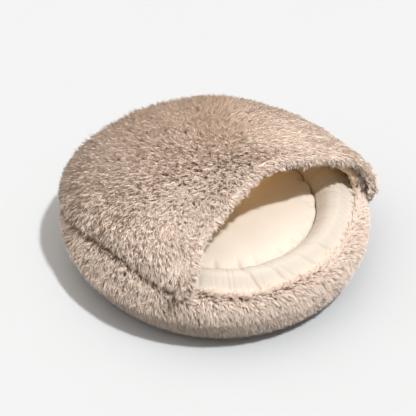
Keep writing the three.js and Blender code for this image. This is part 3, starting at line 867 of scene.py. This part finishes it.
def strand_piece(name, points, normals, shades):
    """A mesh of kites of two triangles: root, two sides and tip of each strand."""
    count = shades.size
    base = np.arange(count)[:, None] * 4
    loops = (base + np.array([0, 1, 2, 2, 1, 3])).ravel()
    mesh = bpy.data.meshes.new(name)
    mesh.vertices.add(count * 4)
    mesh.vertices.foreach_set("co", (points * MM).astype("f").ravel())
    mesh.loops.add(len(loops))
    mesh.loops.foreach_set("vertex_index", loops.astype("i"))
    mesh.polygons.add(2 * count)
    mesh.polygons.foreach_set("loop_start", (np.arange(2 * count) * 3).astype("i"))
    along = np.tile(LEVELS[[0, 1, 1, 1, 1, 2]], count)
    place = np.stack([np.repeat(shades.ravel(), 6), np.clip(along, 0.01, 0.99)], -1)
    for title in (STRAND_MAP, BAKE_MAP):
        mesh.uv_layers.new(name=title)
        mesh.uv_layers[title].data.foreach_set("uv", place.astype("f").ravel())
    mesh.update(calc_edges=True)
    mesh.polygons.foreach_set("use_smooth", np.ones(2 * count, bool))
    turned = mesh.attributes.new("custom_normal", "FLOAT_VECTOR", "POINT")
    turned.data.foreach_set("vector", np.repeat(normals[..., None, :], 4, -2).astype("f").ravel())
    mesh.materials.append(material("long_pile_strands"))
    piece = bpy.data.objects.new(name, mesh)
    bpy.context.scene.collection.objects.link(piece)
    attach(piece, "root")
    return piece


def stretch(low, high):
    """Columns from one angle to another."""
    degrees = columns()
    return np.r_[low, degrees[(degrees > low) & (degrees < high)], high]


# The hood's pile is combed away from this place behind the bed, and a little to the front
PARTING = (215.0, 230.0)
# Ways in plan, as the camera sees the bed
TO_RIGHT = (0.731, -0.682)
TO_FRONT = (-0.682, -0.731)


def to_right(points):
    """How far points or ways reach to the right, as the mouth is seen from the camera's side."""
    return points[:, :2] @ TO_RIGHT


def behind(points):
    """How far points lie behind the axis, as seen from the camera's side."""
    return -(points[:, :2] @ TO_FRONT)


def far_back(points):
    """1 on the steep back of the hood, where the pile is combed upwards."""
    return smooth(behind(points), 120.0, 220.0)


def hood_comb(points):
    """The way the hood's pile lies."""
    flat = points[:, :2] - PARTING
    away = flat / np.maximum(np.linalg.norm(flat, axis=1, keepdims=True), 130.0)
    right = smooth(to_right(points), -60.0, 80.0)[:, None]
    back = smooth(behind(points), 20.0, 130.0)[:, None]
    across = 0.35 * right + 0.7 * back * right
    way = away + mix(1.1, 0.35, right) * np.array(TO_FRONT) + across * np.array(TO_RIGHT)
    rise = mix(-0.3, 0.45, far_back(points))[:, None]
    return np.concatenate([way, rise], 1)


def hood_lean(points):
    """How far the hood's pile leans: most on the right and at the back."""
    right = smooth(to_right(points), -40.0, 90.0)
    back = smooth(behind(points), 60.0, 170.0)
    return 0.6 + 0.22 * np.maximum(right, back) + 0.2 * back


def hood_calm(points):
    """How evenly the hood's pile lies: most on the right and at the back."""
    right = smooth(to_right(points), -20.0, 120.0)
    back = smooth(behind(points), 100.0, 190.0)
    back = back * smooth(to_right(points), -110.0, 20.0)
    degrees = degrees_at(points)
    near_mouth = bell(wrap(degrees - 30.0), 38.0)
    return np.maximum(right, back) * (1 - 0.7 * near_mouth)


def swirl(normals, down, right, drop):
    """The way that the pile is combed: down the cloth, to the right and towards the floor."""
    side = np.cross(normals, down)
    floor = np.array([0.0, 0.0, -1.0])
    return unit(down + right * side + drop * floor)


# Stretches of pile round the bed: name, first and last degree, and seed
WALL_PILES = [
    ("wall_pile_front", -60, 60, 20),
    ("wall_pile_right", 60, 180, 21),
    ("wall_pile_left", -180, -60, 22),
]
HOOD_PILES = [
    ("hood_pile_front", -62, 62, 40),
    ("hood_pile_right", 62, 180, 41),
    ("hood_pile_left", -180, -62, 42),
]

# Angle of the wall's pile from upright, along the seam, below the mouth and at the sides
WALL_LEAN = {"seam": 0.35, "front": 0.12, "side": 0.75, "change": 0.2}
# How much paler it is all over, and how much paler near the floor and in front, which is painted light
# on pile that lies in shade there, and how far its light is turned up
WALL_TONE_AND_PAINTED_LIGHT = {"all": 0.06, "low": 0.35, "front": 0.35}
WALL_UPPER = 3.2
# Angle of the hood's pile from upright, along the seam and on its cut ends
HOOD_LEAN = {"seam": 0.42, "cut": 1.05, "change": 0.12}
# How much paler it is at the back, on the left and at the corners, painted light on pile that faces
# away from the key light at the back and on the left and lies in shade at the corners. On the cut ends
# it is browner, painted warm shade
HOOD_PAINTED_LIGHT = {"back": 0.25, "left": 0.3, "corner": 0.25, "cut": -0.6}
# How much further its light is turned up on the left and at the corners
HOOD_UPPER = {"left": 1.8, "corner": 3.0}


# Light

# Where the soft light and the key light come from
SOFT_LIGHT_FROM = (-0.15, 0.28, 0.95)
KEY_LIGHT_FROM = (0.108, -0.376, 0.921)
# Degrees across the key light, which make its shadows' edges soft
KEY_LIGHT_SIZE = 3.5
# How sharply the soft light falls off away from its direction, and its share from all round
SOFT_LIGHT_FALL = 3.4
ROOM_LIGHT = 0.12
BOUNCE_COLOUR = (1.0, 0.66, 0.24)
BOUNCE_PLACE = (0.05, 0.04, 0.155)


# Sizes and colours that a user may change


class BedSizes(bpy.types.PropertyGroup):
    """Sizes of pile, folds and cloth"""

    strand_width: bpy.props.FloatProperty(
        name="Strand width", description="Width of a strand at its root",
        default=0.00075, min=0.0002, max=0.003, subtype="DISTANCE", unit="LENGTH")
    strands: bpy.props.IntProperty(
        name="Strands", description="Strands in each tuft of pile", default=6, min=1, max=20)
    tuft_spacing: bpy.props.FloatProperty(
        name="Tuft spacing", description="Distance between tufts of pile",
        default=0.00275, min=0.002, max=0.02, subtype="DISTANCE", unit="LENGTH")
    softness: bpy.props.FloatProperty(
        name="Softness", description="How evenly the pile takes the light",
        default=0.6, min=0.0, max=1.0, subtype="FACTOR")
    gather_depth: bpy.props.FloatProperty(
        name="Gather depth", description="Depth of the gathers across the ring",
        default=0.0065, min=0.0, max=0.01, subtype="DISTANCE", unit="LENGTH")
    pucker_depth: bpy.props.FloatProperty(
        name="Pucker depth", description="Depth of the puckers at the cushion's edge",
        default=0.0070, min=0.0, max=0.01, subtype="DISTANCE", unit="LENGTH")


class BedColours(bpy.types.PropertyGroup):
    """Colours of pile and cloth"""

    # The dark roots are partly the pile's own colour and partly painted shade deep in the pile.
    pile_root: bpy.props.FloatVectorProperty(
        name="Pile root", description="Colour at the roots of the pile",
        default=(0.43, 0.29, 0.21), size=3, min=0.0, max=1.0, subtype="COLOR")
    pile_body: bpy.props.FloatVectorProperty(
        name="Pile body", description="Colour of the darker strands at half length",
        default=(0.755, 0.60, 0.49), size=3, min=0.0, max=1.0, subtype="COLOR")
    pile_tip: bpy.props.FloatVectorProperty(
        name="Pile tip", description="Colour of the pale tips",
        default=(0.91, 0.80, 0.71), size=3, min=0.0, max=1.0, subtype="COLOR")
    cream: bpy.props.FloatVectorProperty(
        name="Cream", description="Colour of the cloth inside",
        default=(0.765, 0.69, 0.60), size=3, min=0.0, max=1.0, subtype="COLOR")
    # Deeper gold than the cream: painted warm shade in the hollow under the hood.
    lining: bpy.props.FloatVectorProperty(
        name="Lining", description="Colour of the cloth inside the hood",
        default=(0.97, 0.74, 0.46), size=3, min=0.0, max=1.0, subtype="COLOR")
    base: bpy.props.FloatVectorProperty(
        name="Base", description="Colour of the cloth underneath",
        default=(0.15, 0.13, 0.11), size=3, min=0.0, max=1.0, subtype="COLOR")


class StageSettings(bpy.types.PropertyGroup):
    """Floor, light and camera"""

    floor: bpy.props.FloatVectorProperty(
        name="Floor", description="Colour of the floor",
        default=(0.567, 0.586, 0.604), size=3, min=0.0, max=1.0, subtype="COLOR")
    key: bpy.props.FloatProperty(
        name="Key light", description="Strength of the light from above the mouth",
        default=2.84, min=0.0, max=10.0)
    fill: bpy.props.FloatProperty(
        name="Fill light", description="Strength of the soft light from above",
        default=1.8, min=0.0, max=5.0)
    bounce: bpy.props.FloatProperty(
        name="Bounce light", description="Strength of the warm light in the hollow",
        default=0.075, min=0.0, max=5.0, subtype="POWER", unit="POWER")
    azimuth: bpy.props.FloatProperty(
        name="Azimuth", description="Camera's angle round the bed",
        default=math.radians(-43.0), subtype="ANGLE", unit="ROTATION")
    elevation: bpy.props.FloatProperty(
        name="Elevation", description="Camera's angle above the floor",
        default=math.radians(40.0), subtype="ANGLE", unit="ROTATION")
    distance: bpy.props.FloatProperty(
        name="Distance", description="Camera's distance from the bed",
        default=2.25, min=0.5, subtype="DISTANCE", unit="LENGTH")


# Operators


class BED_OT_stage(bpy.types.Operator):
    """Sets up the floor, the light and the camera"""

    bl_idname = "bed.stage"
    bl_label = "Stage"

    def execute(self, context):
        stage = context.scene.bed_stage
        context.scene.view_settings.view_transform = "Standard"
        self.add_floor(stage)
        self.add_light(context, stage)
        self.add_camera(context, stage)
        return {"FINISHED"}

    def add_floor(self, stage):
        # The floor lies a little under the bed, so that the two faces don't coincide
        size, low = 8.0, -0.0004
        mesh = bpy.data.meshes.new("floor")
        corners = [(-size, -size, low), (size, -size, low), (size, size, low), (-size, size, low)]
        mesh.from_pydata(corners, [], [(0, 1, 2, 3)])
        finish, tree, shader = new_material("floor_paint")
        tone = add_ramp(tree, add_noise(tree, 6.0), [
            (0.4, shade(tuple(stage.floor), 0.995)), (0.6, tuple(stage.floor))])
        tree.links.new(tone, shader.inputs["Base Color"])
        shader.inputs["Roughness"].default_value = 0.9
        shader.inputs["Specular IOR Level"].default_value = 0.1
        mesh.materials.append(finish)
        floor = bpy.data.objects.new("floor", mesh)
        bpy.context.scene.collection.objects.link(floor)

    def add_light(self, context, stage):
        world = bpy.data.worlds.new("studio")
        world.use_nodes = True
        background = world.node_tree.nodes["Background"]
        background.inputs["Color"].default_value = (1.0, 0.94, 0.87, 1.0)
        nodes, links = world.node_tree.nodes, world.node_tree.links
        towards = nodes.new("ShaderNodeVectorMath")
        towards.operation = "DOT_PRODUCT"
        links.new(nodes.new("ShaderNodeTexCoord").outputs["Generated"], towards.inputs[0])
        towards.inputs[1].default_value = Vector(SOFT_LIGHT_FROM).normalized()
        above = nodes.new("ShaderNodeMath")
        above.operation = "MAXIMUM"
        above.inputs[1].default_value = 0.0
        links.new(towards.outputs["Value"], above.inputs[0])
        fall = nodes.new("ShaderNodeMath")
        fall.operation = "POWER"
        fall.inputs[1].default_value = SOFT_LIGHT_FALL
        links.new(above.outputs["Value"], fall.inputs[0])
        strength = nodes.new("ShaderNodeMapRange")
        strength.inputs["To Min"].default_value = ROOM_LIGHT * stage.fill
        strength.inputs["To Max"].default_value = stage.fill
        links.new(fall.outputs["Value"], strength.inputs["Value"])
        links.new(strength.outputs["Result"], background.inputs["Strength"])
        context.scene.world = world
        key = bpy.data.lights.new("key", "SUN")
        key.energy = stage.key
        key.angle = math.radians(KEY_LIGHT_SIZE)
        lamp = bpy.data.objects.new("key", key)
        way = Vector(KEY_LIGHT_FROM).normalized()
        lamp.rotation_euler = way.to_track_quat("Z", "Y").to_euler()
        lamp.location = way * 2
        context.scene.collection.objects.link(lamp)
        self.add_bounce(context, stage)

    def add_bounce(self, context, stage):
        """A weak warm light in the hollow, for light that comes back from the cream cloth."""
        bounce = bpy.data.lights.new("bounce", "POINT")
        bounce.energy = stage.bounce
        bounce.color = BOUNCE_COLOUR
        bounce.shadow_soft_size = 0.04
        lamp = bpy.data.objects.new("bounce", bounce)
        lamp.location = BOUNCE_PLACE
        lamp.visible_camera = False
        context.scene.collection.objects.link(lamp)

    def add_camera(self, context, stage):
        # Picture size, focal length and shift in pixels, and the camera's small roll in radians
        pixels, focal, roll = 416, 1372.5, 0.02
        shift_right, shift_up = -8.7, 0.8
        camera = bpy.data.cameras.new("camera")
        camera.sensor_width = 36.0
        camera.lens = focal * camera.sensor_width / pixels
        camera.shift_x = shift_right / pixels
        camera.shift_y = shift_up / pixels
        camera.clip_end = 20.0
        seat = bpy.data.objects.new("camera", camera)
        a, e = stage.azimuth, stage.elevation
        back = Vector((math.sin(a) * math.cos(e), -math.cos(a) * math.cos(e), math.sin(e)))
        aim = Vector((0.0, 0.0, 0.08))
        turn = back.to_track_quat("Z", "Y").to_matrix().to_4x4() @ Matrix.Rotation(roll, 4, "Z")
        seat.matrix_world = Matrix.Translation(aim + back * stage.distance) @ turn
        context.scene.collection.objects.link(seat)
        context.scene.camera = seat


class BED_OT_base(bpy.types.Operator):
    """Makes the cloth under the bed"""

    bl_idname = "bed.base"
    bl_label = "Base"

    def execute(self, context):
        degrees = np.arange(-180.0, 180.0, 3.0)
        rows = [
            (0, 0), (60, 0), (120, 0), (170, 0), (BASE_RADIUS - 8, 0), (BASE_RADIUS - 6, 0.5),
            (BASE_RADIUS - 5, 0.5), (BASE_RADIUS - 3, 0), (BASE_RADIUS - 1, 0.3),
            (BASE_RADIUS, BASE_THICK / 2), (BASE_RADIUS - 1, BASE_THICK - 0.3),
            (BASE_RADIUS - 3, BASE_THICK), (150, BASE_THICK), (80, BASE_THICK), (0, BASE_THICK),
        ]
        radius, height = (np.array(column, float)[None, :] for column in zip(*rows))
        sections = at(radius, degrees[:, None], height)
        piece = mesh_piece("base_cloth", sections, "base_weave")
        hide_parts("base_panel")
        return {"FINISHED"}


class BED_OT_bolster(bpy.types.Operator):
    """Makes the stuffed ring with its gathers"""

    bl_idname = "bed.bolster"
    bl_label = "Bolster"

    def execute(self, context):
        sections = bolster_sections(context.scene.bed_sizes.gather_depth / MM)
        piece = mesh_piece("bolster_cover", sections, "bolster_cotton")
        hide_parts("bolster")
        return {"FINISHED"}


class BED_OT_cushion(bpy.types.Operator):
    """Makes the filled cushion with its puckered edge"""

    bl_idname = "bed.cushion"
    bl_label = "Cushion"

    def execute(self, context):
        sections = capped(cushion_sections(context.scene.bed_sizes.pucker_depth / MM))
        piece = mesh_piece("cushion_cover", sections, "cushion_plush")
        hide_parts("cushion")
        return {"FINISHED"}


class BED_OT_wall(bpy.types.Operator):
    """Makes the wall's cloth and the pile on it"""

    bl_idname = "bed.wall"
    bl_label = "Wall"

    def execute(self, context):
        sizes = context.scene.bed_sizes
        sections = backing(wall_tips_and_roots(columns())[1], CLOTH_THICK)
        cloth = mesh_piece("wall_cloth", sections, "pile_backing")
        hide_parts("wall_panel")
        pile = [self.wall_pile(*part, sizes) for part in WALL_PILES]
        border_pile = self.border_pile(sizes)
        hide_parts("wall_locks")
        return {"FINISHED"}

    def wall_pile(self, name, first, last, seed, sizes):
        """A stretch of pile, combed down and to the right, and up along the seam."""
        rng = np.random.default_rng(seed)
        tufts = scatter(*wall_tips_and_roots(stretch(first, last)), sizes.tuft_spacing / MM, rng)
        roots, normals, _, down = tufts
        degrees = degrees_at(roots)
        off, front = off_top(roots), below_mouth(degrees)
        comb = swirl(normals, down, 0.8, 0.2) + 0.5 * wander(roots)
        comb = mix(mix(-down, comb, front[:, None]), comb, off[:, None])
        side = WALL_LEAN["side"] + WALL_LEAN["change"] * broad(roots, 27.0, 5.0)
        lean = mix(mix(WALL_LEAN["seam"], WALL_LEAN["front"], front), side, off)
        # Paler near the floor and in front: painted light on pile that lies in shade there.
        low = 1 - smooth(roots[:, 2], 8.0, 60.0)
        in_front = bell(wrap(degrees + 35.0), 45.0)
        tone = WALL_TONE_AND_PAINTED_LIGHT["all"] + WALL_TONE_AND_PAINTED_LIGHT["low"] * low + WALL_TONE_AND_PAINTED_LIGHT["front"] * in_front
        return grow(name, tufts, rng, sizes, lean * (1 - 0.5 * low), comb, tone=tone,
                    upper=WALL_UPPER)

    def border_pile(self, sizes):
        """Pile that leans in over the ring along the border."""
        rng = np.random.default_rng(31)
        count = BORDER_TUFTS
        degrees = rng.uniform(-53.5, 53.5, count)
        radius, height = border(degrees)
        out = rng.uniform(0, 5, count)
        roots = at(radius + 0.3 + out, degrees, height - 6.0 + 0.5 * out)
        out_way = at(1.0, degrees, 0.0)
        normals = unit(np.array([0.0, 0.0, 1.0]) + 0.35 * out_way)
        comb = 0.8 * np.cross(np.array([0.0, 0.0, 1.0]), out_way) - 0.05 * out_way
        tufts = (roots, normals, rng.uniform(9.0, 12.5, count), None)
        lean = rng.normal(0.2, 0.35, count)
        return grow("border_pile", tufts, rng, sizes, lean, comb, curl=0.2, tone=-0.02, longer=1.0,
                    upper=1.4)


class BED_OT_hood(bpy.types.Operator):
    """Makes the hood's cloth and the pile on it"""

    bl_idname = "bed.hood"
    bl_label = "Hood"

    def execute(self, context):
        sizes = context.scene.bed_sizes
        sections = hood_cloth_sections(columns())
        cloth = mesh_piece("hood_cloth", sections, "pile_backing")
        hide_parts("hood_panel")
        pile = [self.hood_pile(*part, sizes) for part in HOOD_PILES]
        rim = self.rim_pile(sizes)
        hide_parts("hood_locks")
        return {"FINISHED"}

    def hood_pile(self, name, first, last, seed, sizes):
        """A stretch of pile, combed over the hood and down to the seam, and up at its cut ends."""
        rng = np.random.default_rng(seed)
        tufts = scatter(*hood_tips_and_roots(stretch(first, last)), sizes.tuft_spacing / MM, rng)
        roots, normals, _, down = tufts
        comb = hood_comb(roots) + 0.3 * wander(roots)
        lean = hood_lean(roots) + HOOD_LEAN["change"] * broad(roots, 31.0, 5.0)
        off, corner = off_seam(roots), self.near_corner(roots)
        comb = mix(mix(down, comb, far_back(roots)[:, None]), comb, off[:, None])
        lean = mix(HOOD_LEAN["seam"], lean, off) * (1 - 0.3 * corner)
        cut = corner * smooth(np.sum(normals * self.to_mouth(roots), 1), 0.1, 0.6)
        comb, lean = mix(comb, -down, cut[:, None]), mix(lean, HOOD_LEAN["cut"], cut)
        back, left = smooth(behind(roots), 90.0, 190.0), smooth(-to_right(roots), -60.0, 130.0)
        upper = UPPER_SIDES + HOOD_UPPER["left"] * smooth(-to_right(normals), 0.0, 0.7)
        upper = upper + HOOD_UPPER["corner"] * corner
        # Paler at the back, on the left and at the corners, and browner on the cut ends: painted light
        # on pile facing away from the key light, and painted warm shade where it lies in shade.
        tone = np.maximum(HOOD_PAINTED_LIGHT["back"] * back, HOOD_PAINTED_LIGHT["left"] * left)
        tone = tone + HOOD_PAINTED_LIGHT["corner"] * corner + HOOD_PAINTED_LIGHT["cut"] * cut
        return grow(name, tufts, rng, sizes, lean, comb, tone=tone, longer=1.2 - 0.2 * back,
                    calm=hood_calm(roots), upper=upper[:, None])

    def to_mouth(self, points):
        """The level way from each place towards the middle of the mouth, round the bed."""
        way = np.stack([-points[:, 1], points[:, 0], 0 * points[:, 0]], -1)
        return unit(-np.sign(points[:, :1]) * way)

    def near_corner(self, points):
        """1 at the foot of the hood's cut ends, where the pile stands up more."""
        degrees = degrees_at(points)
        return bell(np.abs(degrees) - 53.0, 9.0) * (1 - smooth(points[:, 2], 120.0, 150.0))

    def rim_pile(self, sizes):
        """Longer pile that hangs from the mouth's edge."""
        rng = np.random.default_rng(51)
        count = RIM_TUFTS
        dense = np.linspace(-55.8, 55.8, 900)
        half = edge_half(dense)
        _, place, facing, outer = hood_frames(dense, half)
        run = np.r_[0, np.cumsum(np.linalg.norm(np.diff(place, axis=0), axis=1))]
        where = rng.uniform(0, run[-1], count)
        pick = np.clip(np.searchsorted(run, where), 1, len(run) - 1)
        turn = rng.uniform(-0.05, 0.55, (count, 1)) * math.pi
        normals = unit(outer[pick] * np.cos(turn) + facing[pick] * np.sin(turn))
        roots = place[pick] + normals * root_reach(half[pick])[:, None]
        droop = mix(-0.25, -0.55, smooth(dense[pick], -25.0, 15.0))
        comb = facing[pick] + droop[:, None] * np.array([0.0, 0.0, 1.0])
        corner = smooth(np.abs(dense[pick]), 50.0, 54.0)[:, None]
        comb = comb * (1 - 0.7 * corner)
        ends = self.corner_tufts(rng, CORNER_TUFTS)
        lean = np.r_[mix(0.95, 0.45, corner[:, 0]), np.full(len(ends[0]), 0.2)]
        roots, normals, comb = (np.concatenate(pair) for pair in zip((roots, normals, comb), ends))
        depth = rng.uniform(9.0, 12.5, len(lean))
        depth[-len(ends[0]):] += 3.0
        right = smooth(dense[pick], 25.0, 45.0)
        # Paler towards the right: painted light on locks that hang in shade. The corner tufts are
        # browner: painted warm shade.
        tone = np.r_[0.2 + 0.3 * right, np.full(len(ends[0]), -0.35)]
        upper = np.r_[2.2 + 1.8 * right, np.full(len(ends[0]), 1.4)][:, None]
        return grow("rim_pile", (roots, normals, depth, None), rng, sizes, lean, comb, curl=0.3,
                    tone=tone, longer=1.0, lock=RIM_LOCK, upper=upper)

    def corner_tufts(self, rng, count):
        """Pile that fans out of the cut ends of the hood at the mouth's corners."""
        side = np.where(rng.random(count) < 0.5, -1.0, 1.0)
        inset, rise = rng.uniform(2.0, 27.0, count), rng.uniform(-0.85, 0.2, count)
        degrees = side * mix(56.5, 53.0, inset / 38.0)
        roots = hood_point(degrees, rise, inset)
        out = at(1.0, degrees, 0.0)
        to_mouth = -side[:, None] * np.cross(np.array([0.0, 0.0, 1.0]), out)
        fan = out * np.clip((14.0 - inset) / 14.0, -0.8, 0.8)[:, None]
        fan = fan + np.array([0.0, 0.0, 0.7]) * rise[:, None]
        return roots, unit(0.9 * to_mouth + fan), fan + np.array([0.0, 0.0, -0.6])


class BED_OT_lining(bpy.types.Operator):
    """Makes the hood's cream lining"""

    bl_idname = "bed.lining"
    bl_label = "Lining"

    def execute(self, context):
        sections = lining_sections()
        piece = mesh_piece("lining_cloth", sections, "lining_cotton")
        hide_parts("hood_lining")
        return {"FINISHED"}


class BED_PT_panel(bpy.types.Panel):
    """Lists the steps, sizes and colours of the bed"""

    bl_label = "Pet Bed"
    bl_idname = "BED_PT_panel"
    bl_space_type = "VIEW_3D"
    bl_region_type = "UI"
    bl_category = "Pet Bed"

    def draw(self, context):
        layout = self.layout
        for group in (context.scene.bed_sizes, context.scene.bed_colours, context.scene.bed_stage):
            box = layout.box()
            for name in group.__annotations__:
                box.prop(group, name)
        for step in STEPS:
            layout.operator(step.bl_idname)


STEPS = (
    BED_OT_stage, BED_OT_base, BED_OT_bolster, BED_OT_cushion, BED_OT_wall, BED_OT_hood,
    BED_OT_lining,
)
CLASSES = (BedSizes, BedColours, StageSettings, *STEPS, BED_PT_panel)


def register():
    for cls in CLASSES:
        bpy.utils.register_class(cls)
    bpy.types.Scene.bed_sizes = bpy.props.PointerProperty(type=BedSizes)
    bpy.types.Scene.bed_colours = bpy.props.PointerProperty(type=BedColours)
    bpy.types.Scene.bed_stage = bpy.props.PointerProperty(type=StageSettings)


def unregister():
    del bpy.types.Scene.bed_sizes
    del bpy.types.Scene.bed_colours
    del bpy.types.Scene.bed_stage
    for cls in reversed(CLASSES):
        bpy.utils.unregister_class(cls)


def main():
    register()
    bpy.ops.bed.stage()
    bpy.ops.bed.base()
    bpy.ops.bed.bolster()
    bpy.ops.bed.cushion()
    bpy.ops.bed.wall()
    bpy.ops.bed.hood()
    bpy.ops.bed.lining()


if __name__ == "__main__":
    main()
